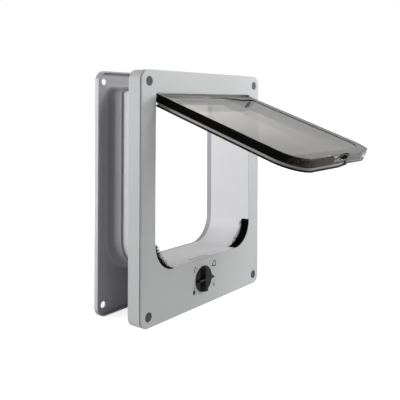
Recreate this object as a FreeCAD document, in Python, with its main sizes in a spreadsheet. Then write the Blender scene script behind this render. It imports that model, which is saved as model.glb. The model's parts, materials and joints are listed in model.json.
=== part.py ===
import FreeCAD, Part
import math
import os
import re

import Sketcher

# A four-way locking cat flap for a door, in millimetres.
# X runs to the right as seen from the room, Y from the room to the outside, Z up.
# The origin is the centre of the four screws on the plane where the inner frame meets the door.
# The flap hangs from two pins at the top of the opening and is held open to the room.
# A drum under the sill carries a front lobe and a rear lobe. Turned by the knob, it raises
# one, both or neither of them on the two sides of the thin web in the flap's bottom edge.

SIZES = {
    # both plates
    "frame_side": 24.5,
    "frame_head": 26,
    "screw_inset": 13,
    "door_thickness": 49.4,
    # inner frame
    "frame_corner": 12,
    "frame_depth": 20,
    "face_wall": 2.4,
    "skirt_wall": 2.5,
    "face_round": 0.6,
    "groove_back": 1,
    "groove_width": 1.8,
    "groove_deep": 1.4,
    "tube_width": 14,
    "screw_bore": 5.2,
    "cap_width": 11,
    "cap_gap": 0.2,
    "cap_recess": 2.8,
    "rib_wall": 1.6,
    "rib_spacing": 20,
    "rib_count": 3,
    "rib_shy": 1.5,
    "side_rib_count": 5,
    "side_rib_end": 16,
    # opening and sleeve
    "opening_width": 201,
    "opening_height": 210,
    "sill_height": 59,
    "opening_low_corner": 34,
    "opening_top_corner": 2,
    "sleeve_wall": 2.5,
    "sleeve_reach": 46,
    # outer frame
    "flange_corner": 13,
    "flange_depth": 6.5,
    "flange_floor": 2.5,
    "flange_rim": 2.2,
    "flange_hole": 8,
    "flange_round": 1,
    "boss_width": 14,
    "boss_rise": 0.6,
    "head_seat_width": 13,
    "head_seat_deep": 1.3,
    "tunnel_gap": 0.4,
    "tunnel_wall": 2.5,
    "tunnel_reach": 19.4,
    "tunnel_flare": 1.6,
    "tunnel_fillet": 4,
    # hinge
    "hinge_back": 7.2,
    "hinge_drop": 5,
    "pin_width": 4,
    "pin_gap": 0.15,
    "pin_seat": 11,
    "hinge_boss_width": 10,
    "hinge_boss_reach": 5,
    # flap, as it hangs
    "flap_gap": 1.3,
    "flap_front": 5.5,
    "pile_proud": 2.7,
    "front_lip": 1.2,
    "pile_thick": 9,
    "back_panel": 2.8,
    "pile_seat": 1,
    "core_wall": 2.5,
    "pile_right_end": 12,
    "border_width": 13,
    "panel_dip": 0.5,
    "panel_wall": 1.8,
    "bar_width": 8.8,
    "bar_drop": 9,
    "flap_round": 0.5,
    "open_angle": 70,
    # notch in the flap's bottom edge
    "notch_width": 43,
    "notch_shift": 6.5,
    "notch_height": 5,
    "web_thick": 2.6,
    "corner_pile_thick": 0.9,
    "corner_pile_back": 11,
    "magnet_width": 8,
    "magnet_inset": 0.4,
    # lock
    "knob_shift": -7,
    "knob_height": 33.5,
    "knob_width": 33,
    "knob_base": 1.2,
    "knob_float": 0.3,
    "grip_width": 7.5,
    "grip_rise": 4.2,
    "grip_inset": 0.4,
    "pointer_reach": 15.7,
    "pointer_width": 3.6,
    "shaft_width": 11,
    "shaft_gap": 0.3,
    "hub_width": 28,
    "lobe_radius": 28.5,
    "lobe_thick": 2.2,
    "lobe_gap": 0.6,
    "lobe_angle": 140,
    "slot_gap": 0.7,
    "wheel_thick": 3.2,
    "notch_radius": 2.2,
    "journal_width": 12,
    # lock cover
    "cover_width": 76,
    "cover_height": 50,
    "cover_thick": 2.4,
    "cover_recess": 1.5,
    "cover_screw_x": 32,
    "cover_screw_z": 18.5,
    "cover_boss": 7,
    "cover_screw": 2.6,
    "cover_head": 5,
    "cover_screw_length": 10,
    "spring_thick": 0.8,
    "spring_half": 14,
    "spring_post": 4,
    "spring_gap": 0.3,
    "sill_magnet_thick": 2.4,
    "sill_magnet_height": 4,
}

doc = FreeCAD.newDocument("CatFlap")
sheet = doc.addObject("Spreadsheet::Sheet", "Sizes")
for row, (alias, size) in enumerate(SIZES.items(), start=1):
    sheet.set(f"A{row}", alias)
    sheet.set(f"B{row}", str(size))
    sheet.setAlias(f"B{row}", alias)
doc.recompute()


def linked(text):
    """The text of an expression with every named size read from the sheet."""
    return re.sub(r"[a-z_]+", lambda word: "Sizes." + word[0] if word[0] in SIZES else word[0], text)


def number(text):
    """The value that an expression has now."""
    found = sheet.evalExpression(linked(text))
    return float(getattr(found, "Value", found))


# Places that several pieces share, as expressions of the sizes above.
HALF_WIDTH = "(opening_width / 2 + frame_side)"
TOP = "((sill_height + opening_height + frame_head) / 2)"
BOTTOM = f"(-{TOP})"
SILL = f"({BOTTOM} + sill_height)"
LINTEL = f"({TOP} - frame_head)"
FACE = "(-frame_depth)"
SCREW_X = f"({HALF_WIDTH} - screw_inset)"
SCREW_Z = f"({TOP} - screw_inset)"
FLANGE_FRONT = "door_thickness"
FLANGE_FLOOR = "(door_thickness + flange_depth - flange_floor)"
FLANGE_BACK = "(door_thickness + flange_depth)"
HINGE_Y = "(hinge_back - frame_depth)"
HINGE_Z = f"({LINTEL} - hinge_drop)"
KNOB_X = "knob_shift"
KNOB_Z = f"({BOTTOM} + knob_height)"
COVER_FRONT = "(-cover_recess - cover_thick)"
COVER_BACK = "(-cover_recess)"
FRONT_LOBE = f"({HINGE_Y} - web_thick / 2 - lobe_gap - lobe_thick)"
REAR_LOBE = f"({HINGE_Y} + web_thick / 2 + lobe_gap)"
WHEEL_FRONT = f"({REAR_LOBE} + lobe_thick)"
WHEEL_BACK = f"({WHEEL_FRONT} + wheel_thick)"
JOURNAL_BACK = f"({COVER_BACK} - cover_thick / 2)"
SPRING_FRONT = f"({KNOB_X} + hub_width / 2 + spring_gap + notch_radius - spring_thick / 2)"
CORNERS = [(1, 1), (-1, 1), (-1, -1), (1, -1)]


def new_body(label):
    """A body whose label is the piece's name."""
    made = doc.addObject("PartDesign::Body", label)
    made.Label = label
    return made


def new_sketch(body, name, plane, offset):
    """A sketch on one of the body's own planes, moved by an offset along that plane's normal."""
    sketch = body.newObject("Sketcher::SketchObject", name)
    origin_plane = [each for each in body.Origin.OriginFeatures if each.Role == plane][0]
    sketch.AttachmentSupport = [(origin_plane, "")]
    sketch.MapMode = "FlatFace"
    sketch.setExpression("AttachmentOffset.Base.z", linked(offset))
    return sketch


def front_sketch(body, name, depth):
    """A sketch that faces the room, at a depth along Y. Its own axes are X and Z."""
    return new_sketch(body, name, "XZ_Plane", f"-({depth})")


def pin_down(sketch, geometry, end, x, z):
    """Ties one end of a line, arc or centre to a place given by two expressions."""
    for kind, text, axis in (("DistanceX", x, -2), ("DistanceY", z, -1)):
        if text == "0":
            sketch.addConstraint(Sketcher.Constraint("PointOnObject", geometry, end, axis))
        else:
            index = sketch.addConstraint(Sketcher.Constraint(kind, -1, 1, geometry, end, number(text)))
            sketch.setExpression(f"Constraints[{index}]", linked(text))


def add_circle(sketch, x, z, width):
    """A circle by its centre and its diameter."""
    centre = FreeCAD.Vector(number(x), number(z), 0)
    circle = Part.Circle(centre, FreeCAD.Vector(0, 0, 1), number(width) / 2)
    geometry = sketch.addGeometry(circle, False)
    pin_down(sketch, geometry, 3, x, z)
    index = sketch.addConstraint(Sketcher.Constraint("Diameter", geometry, number(width)))
    sketch.setExpression(f"Constraints[{index}]", linked(width))


def add_polygon(sketch, corners):
    """A closed outline of straight lines through corners given as pairs of expressions."""
    points = [FreeCAD.Vector(number(x), number(z), 0) for x, z in corners]
    first = sketch.GeometryCount
    for here, there in zip(points, points[1:] + points[:1]):
        sketch.addGeometry(Part.LineSegment(here, there), False)
    for step, (x, z) in enumerate(corners):
        after = first + (step + 1) % len(corners)
        sketch.addConstraint(Sketcher.Constraint("Coincident", first + step, 2, after, 1))
        pin_down(sketch, first + step, 1, x, z)


def add_rectangle(sketch, left, right, bottom, top):
    """An upright rectangle with sharp corners."""
    add_polygon(sketch, [(left, bottom), (right, bottom), (right, top), (left, top)])


def add_octagon(sketch, x, z, width):
    """An octagon by its centre and the diameter through its corners, for small hidden fasteners."""
    corners = []
    for step in range(8):
        turn = math.radians(22.5 + 45 * step)
        across = round(math.cos(turn), 5)
        up = round(math.sin(turn), 5)
        corners.append((f"{x} + {across} * ({width}) / 2", f"{z} + {up} * ({width}) / 2"))
    add_polygon(sketch, corners)


def add_rounded(sketch, left, right, bottom, top, low_corner, top_corner):
    """An upright rectangle whose two lower and two upper corners are rounded."""
    west, east, south, north = number(left), number(right), number(bottom), number(top)
    low, high = number(low_corner), number(top_corner)
    vector = FreeCAD.Vector
    lines = [
        (vector(west + low, south, 0), vector(east - low, south, 0)),
        (vector(east, south + low, 0), vector(east, north - high, 0)),
        (vector(east - high, north, 0), vector(west + high, north, 0)),
        (vector(west, north - high, 0), vector(west, south + low, 0)),
    ]
    centres = [
        (vector(east - low, south + low, 0), low, -90),
        (vector(east - high, north - high, 0), high, 0),
        (vector(west + high, north - high, 0), high, 90),
        (vector(west + low, south + low, 0), low, 180),
    ]
    first = sketch.GeometryCount
    for (here, there), (centre, radius, start) in zip(lines, centres):
        sketch.addGeometry(Part.LineSegment(here, there), False)
        circle = Part.Circle(centre, vector(0, 0, 1), radius)
        arc = Part.ArcOfCircle(circle, math.radians(start), math.radians(start + 90))
        sketch.addGeometry(arc, False)
    for corner, text in enumerate((low_corner, top_corner, top_corner, low_corner)):
        line = first + 2 * corner
        arc = line + 1
        after = first + (2 * corner + 2) % 8
        sketch.addConstraint(Sketcher.Constraint("Tangent", line, 2, arc, 1))
        sketch.addConstraint(Sketcher.Constraint("Tangent", arc, 2, after, 1))
        index = sketch.addConstraint(Sketcher.Constraint("Radius", arc, number(text)))
        sketch.setExpression(f"Constraints[{index}]", linked(text))
    sketch.addConstraint(Sketcher.Constraint("Horizontal", first))
    sketch.addConstraint(Sketcher.Constraint("Vertical", first + 2))
    sketch.addConstraint(Sketcher.Constraint("Horizontal", first + 4))
    sketch.addConstraint(Sketcher.Constraint("Vertical", first + 6))
    for kind, geometry, text in (
        ("DistanceY", first, bottom),
        ("DistanceX", first + 2, right),
        ("DistanceY", first + 4, top),
        ("DistanceX", first + 6, left),
    ):
        index = sketch.addConstraint(Sketcher.Constraint(kind, -1, 1, geometry, 1, number(text)))
        sketch.setExpression(f"Constraints[{index}]", linked(text))


def add_plate(sketch, inset, corner):
    """The outline that both plates share, moved inwards by an inset."""
    add_rounded(
        sketch,
        f"-{HALF_WIDTH} + {inset}",
        f"{HALF_WIDTH} - ({inset})",
        f"{BOTTOM} + {inset}",
        f"{TOP} - ({inset})",
        f"{corner} - ({inset})",
        f"{corner} - ({inset})",
    )


def add_opening(sketch, outset):
    """The outline of the opening, moved outwards by an outset."""
    add_rounded(
        sketch,
        f"-opening_width / 2 - ({outset})",
        f"opening_width / 2 + {outset}",
        f"{SILL} - ({outset})",
        f"{LINTEL} + {outset}",
        f"opening_low_corner + {outset}",
        f"opening_top_corner + {outset}",
    )


def grow(body, kind, name, sketch, length, reverse=False):
    """A pad or pocket of a sketch. The volume must change, or the direction is wrong."""
    before = body.Tip.Shape.Volume if body.Tip else 0
    feature = body.newObject(kind, name)
    feature.Profile = sketch
    feature.setExpression("Length", linked(length))
    feature.Reversed = reverse
    doc.recompute()
    change = feature.Shape.Volume - before
    if (kind == "PartDesign::Pad") != (change > 0) or abs(change) < 1e-6:
        raise RuntimeError(f"{name} of {body.Label} changed the volume by {change}")
    return feature


def pad(body, name, sketch, length, reverse=True):
    """Material from a front sketch backwards, away from the room."""
    return grow(body, "PartDesign::Pad", name, sketch, length, reverse)


def pocket(body, name, sketch, length, reverse=False):
    """A cut from a front sketch backwards, away from the room."""
    return grow(body, "PartDesign::Pocket", name, sketch, length, reverse)


def dress_edges(body, kind, name, reach, wanted):
    """Breaks the edges of the last feature that a test picks, with a Chamfer or a Fillet."""
    base = body.Tip
    names = [f"Edge{i}" for i, edge in enumerate(base.Shape.Edges, start=1) if wanted(edge)]
    feature = body.newObject(f"PartDesign::{kind}", name)
    feature.Base = (base, names)
    feature.setExpression("Size" if kind == "Chamfer" else "Radius", linked(reach))
    doc.recompute()
    return feature


def lies_at(edge, depth):
    """True where an edge lies whole in the plane at a depth along Y."""
    box = edge.BoundBox
    return abs(box.YMin - depth) < 1e-4 and abs(box.YMax - depth) < 1e-4


def on_plate_edge(edge, depth):
    """True for an edge of a plate's outer outline at a depth along Y."""
    middle = edge.CenterOfMass
    margin = number("frame_corner")
    beside = abs(middle.x) > number(HALF_WIDTH) - margin / 2
    above = abs(middle.z) > number(TOP) - margin / 2
    return lies_at(edge, depth) and edge.Length > margin and (beside or above)


def on_opening_edge(edge, depth, outset):
    """True for an edge of the opening's outline at a depth along Y."""
    box = edge.BoundBox
    half_width = number(f"opening_width / 2 + {outset}") + 0.01
    low = number(f"{SILL} - ({outset})") - 0.01
    high = number(f"{LINTEL} + {outset}") + 0.01
    inside = abs(box.XMin) < half_width and abs(box.XMax) < half_width
    return lies_at(edge, depth) and inside and box.ZMin > low and box.ZMax < high


def four_circles(sketch, x, z, width):
    """Four like circles, one in each corner about the origin."""
    for side, level in CORNERS:
        add_circle(sketch, f"{side} * {x}", f"{level} * {z}", width)


def four_octagons(sketch, width):
    """Four like octagons, one at each of the cover's screws."""
    for side, level in CORNERS:
        x = f"{KNOB_X} + {side} * cover_screw_x"
        add_octagon(sketch, x, f"{KNOB_Z} + {level} * cover_screw_z", width)


def make_inner_frame():
    """The plate on the room side: face, skirt, sleeve through the door, tubes, ribs and lock housing."""
    body = new_body("inner_frame")
    sketch = front_sketch(body, "FaceOutline", FACE)
    add_plate(sketch, "0", "frame_corner")
    pad(body, "Block", sketch, "frame_depth")

    # the moulding is hollow between its skirt and its sleeve, open at the back
    sketch = front_sketch(body, "HollowOutline", f"{FACE} + face_wall")
    add_plate(sketch, "skirt_wall", "frame_corner")
    add_opening(sketch, "sleeve_wall")
    pocket(body, "Hollow", sketch, "frame_depth - face_wall")

    sketch = front_sketch(body, "SleeveOutline", "0")
    add_opening(sketch, "sleeve_wall")
    pad(body, "Sleeve", sketch, "sleeve_reach")

    sketch = front_sketch(body, "TubeOutlines", f"{FACE} + face_wall")
    four_circles(sketch, SCREW_X, SCREW_Z, "tube_width")
    pad(body, "ScrewTubes", sketch, "frame_depth - face_wall")

    # ribs under the sill, above the lintel and beside the opening; the inner two house the lock
    sketch = front_sketch(body, "RibOutlines", f"{FACE} + face_wall")
    for side in (-1, 1):
        for step in range(int(SIZES["rib_count"])):
            middle = f"{KNOB_X} + {side} * (cover_width / 2 + rib_wall + {step} * rib_spacing)"
            add_rectangle(
                sketch,
                f"{middle} - rib_wall / 2",
                f"{middle} + rib_wall / 2",
                f"{BOTTOM} + skirt_wall / 2",
                f"{SILL} - sleeve_wall / 2",
            )
    pad(body, "LowRibs", sketch, "frame_depth - face_wall - rib_shy")

    sketch = front_sketch(body, "SideRibOutlines", f"{FACE} + face_wall")
    spacing = "(opening_height - opening_low_corner - side_rib_end) / (side_rib_count - 1)"
    for side in (-1, 1):
        for step in range(int(SIZES["side_rib_count"])):
            height = f"{SILL} + opening_low_corner + {step} * {spacing}"
            near = f"{side} * (opening_width / 2 + sleeve_wall / 2)"
            far = f"{side} * ({HALF_WIDTH} - skirt_wall / 2)"
            left, right = (far, near) if side < 0 else (near, far)
            add_rectangle(sketch, left, right, f"{height} - rib_wall / 2", f"{height} + rib_wall / 2")
    pad(body, "SideRibs", sketch, "frame_depth - face_wall - rib_shy")

    # bosses for the cover's screws
    sketch = front_sketch(body, "CoverBossOutlines", f"{FACE} + face_wall")
    four_octagons(sketch, "cover_boss")
    pad(body, "CoverBosses", sketch, "frame_depth - face_wall - cover_thick - cover_recess")

    # the hinge bosses stand on the outer sides of the sleeve
    for side, name in ((-1, "Left"), (1, "Right")):
        sketch = new_sketch(body, f"{name}HingeOutline", "YZ_Plane", f"{side} * opening_width / 2")
        add_circle(sketch, HINGE_Y, HINGE_Z, "hinge_boss_width")
        pad(body, f"{name}HingeBoss", sketch, "sleeve_wall + hinge_boss_reach", reverse=side < 0)

    # the passage, a little longer than the moulding at its front
    sketch = front_sketch(body, "PassageOutline", FACE)
    add_opening(sketch, "0")
    pocket(body, "Passage", sketch, "frame_depth + sleeve_reach")

    sketch = front_sketch(body, "CapRecessOutlines", FACE)
    four_circles(sketch, SCREW_X, SCREW_Z, "cap_width + 2 * cap_gap")
    pocket(body, "CapRecesses", sketch, "cap_recess")
    sketch = front_sketch(body, "ScrewBoreOutlines", FACE)
    four_circles(sketch, SCREW_X, SCREW_Z, "screw_bore")
    pocket(body, "ScrewBores", sketch, "frame_depth")

    sketch = front_sketch(body, "PilotOutlines", COVER_FRONT)
    four_octagons(sketch, "cover_screw")
    pocket(body, "Pilots", sketch, "cover_screw_length", reverse=True)

    sketch = front_sketch(body, "KnobBoreOutline", FACE)
    add_circle(sketch, KNOB_X, KNOB_Z, "shaft_width + 2 * shaft_gap")
    pocket(body, "KnobBore", sketch, "face_wall")

    # the pins' bearings go through the sleeve and its bosses
    for side, name in ((-1, "Left"), (1, "Right")):
        sketch = new_sketch(body, f"{name}BearingOutline", "YZ_Plane", f"{side} * opening_width / 2")
        add_circle(sketch, HINGE_Y, HINGE_Z, "pin_width + 2 * pin_gap")
        pocket(body, f"{name}Bearing", sketch, "sleeve_wall + hinge_boss_reach", reverse=side > 0)

    # two slots in the sill let the lock's lobes through
    half = "sqrt(lobe_radius * lobe_radius - pow(sill_height - sleeve_wall - knob_height; 2)) + slot_gap"
    sketch = new_sketch(body, "SlotOutlines", "XY_Plane", SILL)
    for lobe in (FRONT_LOBE, REAR_LOBE):
        add_rectangle(
            sketch,
            f"{KNOB_X} - ({half})",
            f"{KNOB_X} + {half}",
            f"{lobe} - slot_gap / 2",
            f"{lobe} + lobe_thick + slot_gap / 2",
        )
    pocket(body, "LobeSlots", sketch, "sleeve_wall")

    # a fine groove runs round the skirt behind the face
    sketch = front_sketch(body, "GrooveOutline", f"{FACE} + groove_back")
    add_plate(sketch, "-groove_deep", "frame_corner")
    add_plate(sketch, "groove_deep", "frame_corner")
    pocket(body, "Groove", sketch, "groove_width")

    face = number(FACE)
    dress_edges(
        body,
        "Chamfer",
        "FaceRound",
        "face_round",
        lambda edge: on_plate_edge(edge, face),
    )
    return body


def make_outer_frame():
    """The plate on the outside: a shallow tray that faces the door, with the tunnel over the sleeve."""
    body = new_body("outer_frame")
    outer = "sleeve_wall + tunnel_gap + tunnel_wall + tunnel_flare"
    sketch = front_sketch(body, "FlangeOutline", FLANGE_FRONT)
    add_plate(sketch, "0", "flange_corner")
    pad(body, "Flange", sketch, "flange_depth")
    sketch = front_sketch(body, "TrayOutline", FLANGE_FRONT)
    add_plate(sketch, "flange_rim", "flange_corner")
    pocket(body, "Tray", sketch, "flange_depth - flange_floor")

    # the tunnel narrows towards the room
    sketch = front_sketch(body, "TunnelOutline", FLANGE_FLOOR)
    add_opening(sketch, outer)
    length = "tunnel_reach + flange_depth - flange_floor"
    tunnel = pad(body, "Tunnel", sketch, length, reverse=False)
    tunnel.setExpression("TaperAngle", linked(f"-atan(tunnel_flare / ({length}))"))
    doc.recompute()
    floor = number(FLANGE_FLOOR)
    dress_edges(
        body,
        "Fillet",
        "TunnelFillet",
        "tunnel_fillet",
        lambda edge: on_opening_edge(edge, floor, outer),
    )

    # the screws' heads sit in round recesses at the back, over low rings at the front
    sketch = front_sketch(body, "RingOutlines", f"{FLANGE_FLOOR} - boss_rise")
    four_circles(sketch, SCREW_X, SCREW_Z, "boss_width")
    pad(body, "Rings", sketch, "boss_rise")
    sketch = front_sketch(body, "HoleOutlines", FLANGE_FRONT)
    four_circles(sketch, SCREW_X, SCREW_Z, "flange_hole")
    pocket(body, "Holes", sketch, "flange_depth")
    sketch = front_sketch(body, "HeadSeatOutlines", f"{FLANGE_BACK} - head_seat_deep")
    four_circles(sketch, SCREW_X, SCREW_Z, "head_seat_width")
    pocket(body, "HeadSeats", sketch, "head_seat_deep")
    sketch = front_sketch(body, "PassageOutline", f"{FLANGE_FRONT} - tunnel_reach")
    add_opening(sketch, "sleeve_wall + tunnel_gap")
    pocket(body, "Passage", sketch, "tunnel_reach + flange_depth")

    back = number(FLANGE_BACK)
    dress_edges(
        body,
        "Chamfer",
        "BackRound",
        "flange_round",
        lambda edge: on_plate_edge(edge, back),
    )
    return body


def make_screw_cap(index, side, level):
    """A round cap that closes the recess over one of the long screws."""
    body = new_body(f"screw_cap_{index}")
    sketch = front_sketch(body, "HeadOutline", "0")
    add_circle(sketch, "0", "0", "cap_width")
    pad(body, "Head", sketch, "cap_recess")
    place(body, f"{side} * {SCREW_X}", FACE, f"{level} * {SCREW_Z}")
    return body


def place(item, x, y, z):
    """Sets an object's place from three expressions."""
    for axis, text in (("x", x), ("y", y), ("z", z)):
        item.setExpression(f"Placement.Base.{axis}", linked(text))


def make_lock_cover():
    """The plate behind the drum, with its bearing and two posts that hold the leaf spring."""
    body = new_body("lock_cover")
    sketch = front_sketch(body, "PlateOutline", COVER_FRONT)
    left = f"{KNOB_X} - cover_width / 2"
    right = f"{KNOB_X} + cover_width / 2"
    add_rectangle(sketch, left, right, f"{KNOB_Z} - cover_height / 2", f"{SILL} - sleeve_wall")
    pad(body, "Plate", sketch, "cover_thick")
    front = f"{WHEEL_FRONT} + lobe_gap"
    sketch = front_sketch(body, "PostOutlines", front)
    back_of_spring = f"{SPRING_FRONT} + spring_thick"
    for level in (-1, 1):
        end = f"{KNOB_Z} + {level} * spring_half"
        add_rectangle(
            sketch,
            back_of_spring,
            f"{back_of_spring} + spring_post",
            f"{end} - spring_post / 2",
            f"{end} + spring_post / 2",
        )
    pad(body, "Posts", sketch, f"{COVER_FRONT} - ({front})")
    sketch = front_sketch(body, "BearingOutline", COVER_FRONT)
    add_circle(sketch, KNOB_X, KNOB_Z, "journal_width + 2 * shaft_gap")
    pocket(body, "Bearing", sketch, "cover_thick")
    sketch = front_sketch(body, "ScrewHoleOutlines", COVER_FRONT)
    four_octagons(sketch, "cover_screw")
    pocket(body, "ScrewHoles", sketch, "cover_thick")
    return body


def make_cover_screw(index, side, level):
    """A small screw, in from the back of the cover."""
    body = new_body(f"cover_screw_{index}")
    sketch = front_sketch(body, "ShankOutline", "-cover_thick - cover_screw_length")
    add_octagon(sketch, "0", "0", "cover_screw")
    pad(body, "Shank", sketch, "cover_thick + cover_screw_length")
    sketch = front_sketch(body, "HeadOutline", "0")
    add_octagon(sketch, "0", "0", "cover_head")
    pad(body, "Head", sketch, "cover_screw / 2")
    x = f"{KNOB_X} + {side} * cover_screw_x"
    place(body, x, COVER_BACK, f"{KNOB_Z} + {level} * cover_screw_z")
    return body


def make_knob():
    """A thin disc with an upright grip bar, a pointer across it and a shaft through the face."""
    body = new_body("knob")
    sketch = front_sketch(body, "DiscOutline", "-knob_base - knob_float")
    add_circle(sketch, "0", "0", "knob_width")
    pad(body, "Disc", sketch, "knob_base")
    front = "-knob_base - knob_float - grip_rise"
    half = "knob_width / 2 - grip_inset"
    sketch = front_sketch(body, "GripOutline", front)
    corner = "grip_width / 4"
    add_rounded(sketch, "-grip_width / 2", "grip_width / 2", f"-({half})", half, corner, corner)
    pad(body, "Grip", sketch, "grip_rise")
    sketch = front_sketch(body, "PointerOutline", front)
    corner = "pointer_width * 0.45"
    level = "pointer_width / 2"
    add_rounded(sketch, f"-({half}) + grip_inset", "pointer_reach", f"-{level}", level, corner, corner)
    pad(body, "Pointer", sketch, "grip_rise")
    sketch = front_sketch(body, "ShaftOutline", "-knob_float")
    add_circle(sketch, "0", "0", "shaft_width")
    pad(body, "Shaft", sketch, f"{REAR_LOBE} - ({FACE}) + knob_float")
    sketch = front_sketch(body, "ScrewPilot", "0")
    add_octagon(sketch, "0", "0", "cover_screw")
    pocket(body, "Pilot", sketch, f"{REAR_LOBE} - ({FACE})")
    place(body, KNOB_X, FACE, KNOB_Z)
    return body


def sector(name, angle, radius, thick, start):
    """A slice of a disc about the lock's axis: its Y place is set by the caller."""
    piece = doc.addObject("Part::Cylinder", name)
    piece.setExpression("Radius", linked(radius))
    piece.setExpression("Height", linked(thick))
    piece.setExpression("Angle", linked(angle))
    turn = FreeCAD.Rotation(FreeCAD.Vector(1, 0, 0), -90)
    piece.Placement.Rotation = turn.multiply(FreeCAD.Rotation(FreeCAD.Vector(0, 0, 1), start))
    return piece


def fused(label, pieces, cuts):
    """One solid of several primitives, less some others."""
    operands = []
    for kind, shapes in (("solid", pieces), ("removed", cuts)):
        joined = shapes[0]
        if len(shapes) > 1:
            joined = doc.addObject("Part::MultiFuse", f"{label}_{kind}")
            joined.Shapes = shapes
        operands.append(joined)
    result = doc.addObject("Part::Cut", label)
    result.Base, result.Tool = operands
    result.Refine = True
    result.Label = label
    return result


def make_cam_drum():
    """The drum under the sill: hub, front lobe, rear lobe, wheel with four notches and rear journal."""
    open_end = 25
    quarter = 90
    front = sector("FrontLobe", "lobe_angle", "lobe_radius", "lobe_thick", -open_end)
    place(front, KNOB_X, FRONT_LOBE, KNOB_Z)
    rear = sector("RearLobe", "lobe_angle", "lobe_radius", "lobe_thick", quarter - open_end)
    place(rear, KNOB_X, REAR_LOBE, KNOB_Z)
    hub = sector("Hub", "360", "hub_width / 2", f"{WHEEL_BACK} - {FRONT_LOBE}", 0)
    place(hub, KNOB_X, FRONT_LOBE, KNOB_Z)
    journal = sector("Journal", "360", "journal_width / 2", f"{JOURNAL_BACK} - {WHEEL_BACK}", 0)
    place(journal, KNOB_X, WHEEL_BACK, KNOB_Z)
    bore = sector("ShaftBore", "360", "shaft_width / 2", f"{REAR_LOBE} - {FRONT_LOBE}", 0)
    place(bore, KNOB_X, FRONT_LOBE, KNOB_Z)
    hole = sector("ScrewHole", "360", "cover_screw / 2", f"-{FRONT_LOBE}", 0)
    place(hole, KNOB_X, FRONT_LOBE, KNOB_Z)
    notches = []
    for step in range(4):
        turn = step * quarter
        across = round(math.cos(math.radians(turn)))
        up = round(math.sin(math.radians(turn)))
        notch = sector(f"Notch{step}", "360", "notch_radius", "wheel_thick", 0)
        place(
            notch,
            f"{KNOB_X} + {across} * hub_width / 2",
            WHEEL_FRONT,
            f"{KNOB_Z} + {up} * hub_width / 2",
        )
        notches.append(notch)
    return fused("cam_drum", [front, rear, hub, journal], [bore, hole] + notches)


def make_corner_pile(name, side):
    """A short draught strip on a lower corner of the opening, where the flap's corner closes."""
    start = 90 if side < 0 else 0
    x = f"{side} * (opening_width / 2 - opening_low_corner)"
    pieces = []
    for kind, radius in (("Strip", "opening_low_corner"), ("Inner", "opening_low_corner - corner_pile_thick")):
        quarter = sector(f"{name}_{kind}", "90", radius, "corner_pile_back", start)
        place(quarter, x, f"{FACE} + face_round", f"{SILL} + opening_low_corner")
        pieces.append(quarter)
    return fused(name, pieces[:1], pieces[1:])


def make_knob_screw():
    """The screw that draws the drum onto the knob's shaft."""
    body = new_body("knob_screw")
    sketch = front_sketch(body, "ShankOutline", f"{FRONT_LOBE} + lobe_gap")
    add_octagon(sketch, KNOB_X, KNOB_Z, "cover_screw")
    pad(body, "Shank", sketch, f"{JOURNAL_BACK} - ({FRONT_LOBE} + lobe_gap)")
    sketch = front_sketch(body, "HeadOutline", JOURNAL_BACK)
    add_octagon(sketch, KNOB_X, KNOB_Z, "cover_head")
    pad(body, "Head", sketch, "cover_thick / 2")
    return body


def make_detent_spring():
    """A leaf between the cover's two posts, with a round bump that faces a notch of the wheel."""
    body = new_body("detent_spring")
    front = f"{WHEEL_FRONT} + lobe_gap"
    sketch = front_sketch(body, "LeafOutline", front)
    add_rectangle(
        sketch,
        SPRING_FRONT,
        f"{SPRING_FRONT} + spring_thick",
        f"{KNOB_Z} - spring_half - spring_post / 2",
        f"{KNOB_Z} + spring_half + spring_post / 2",
    )
    width = "wheel_thick - lobe_gap"
    pad(body, "Leaf", sketch, width)
    sketch = front_sketch(body, "BumpOutline", front)
    add_circle(sketch, f"{SPRING_FRONT} + spring_thick / 2", KNOB_Z, "2 * notch_radius")
    pad(body, "Bump", sketch, width)
    return body


def make_sill_magnet():
    """The magnet under the sill, between the two lobes and in line with the flap's magnet."""
    body = new_body("sill_magnet")
    right = f"{KNOB_X} + notch_shift + notch_width / 2"
    sketch = front_sketch(body, "MagnetOutline", f"{HINGE_Y} - sill_magnet_thick / 2")
    low = f"{SILL} - sleeve_wall - sill_magnet_height"
    add_rectangle(sketch, f"{right} - magnet_width", right, low, f"{SILL} - sleeve_wall")
    pad(body, "Magnet", sketch, "sill_magnet_thick")
    return body


def make_hinge_pin(name, side):
    """A steel pin, fast in the flap's top bar and free in the frame's bearing."""
    body = new_body(name)
    seat = f"{side} * (opening_width / 2 - flap_gap - pin_seat)"
    sketch = new_sketch(body, "PinOutline", "YZ_Plane", seat)
    add_circle(sketch, "0", "0", "pin_width")
    length = "flap_gap + pin_seat + sleeve_wall + hinge_boss_reach - 2 * pin_gap"
    pad(body, "Pin", sketch, length, reverse=side < 0)
    hang(body)
    return body


def hang(body):
    """Turns a piece of the flap about the hinge, from hanging to open towards the room."""
    turn = FreeCAD.Rotation(FreeCAD.Vector(1, 0, 0), -number("open_angle"))
    body.Placement.Rotation = turn
    place(body, "0", HINGE_Y, HINGE_Z)


# The flap's own frame has its origin on the hinge, with the flap hanging down.
FLAP_SIDE = "(opening_width / 2 - flap_gap)"
FLAP_LOW = "(-opening_height + hinge_drop + flap_gap)"
FLAP_CORNER = "(opening_low_corner - flap_gap)"
FRONT_BACK = "(-flap_front + front_lip)"
BACK_FRONT = f"({FRONT_BACK} + pile_thick)"
NOTCH_LEFT = f"({KNOB_X} + notch_shift - notch_width / 2)"
NOTCH_RIGHT = f"({KNOB_X} + notch_shift + notch_width / 2)"


def add_flap(sketch, inset, top="-bar_drop", top_corner="flap_round"):
    """The flap's outline, moved inwards from the tips of the pile by an inset."""
    add_rounded(
        sketch,
        f"-{FLAP_SIDE} + {inset}",
        f"{FLAP_SIDE} - ({inset})",
        f"{FLAP_LOW} + {inset}",
        top,
        f"{FLAP_CORNER} - ({inset})",
        top_corner,
    )


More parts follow.
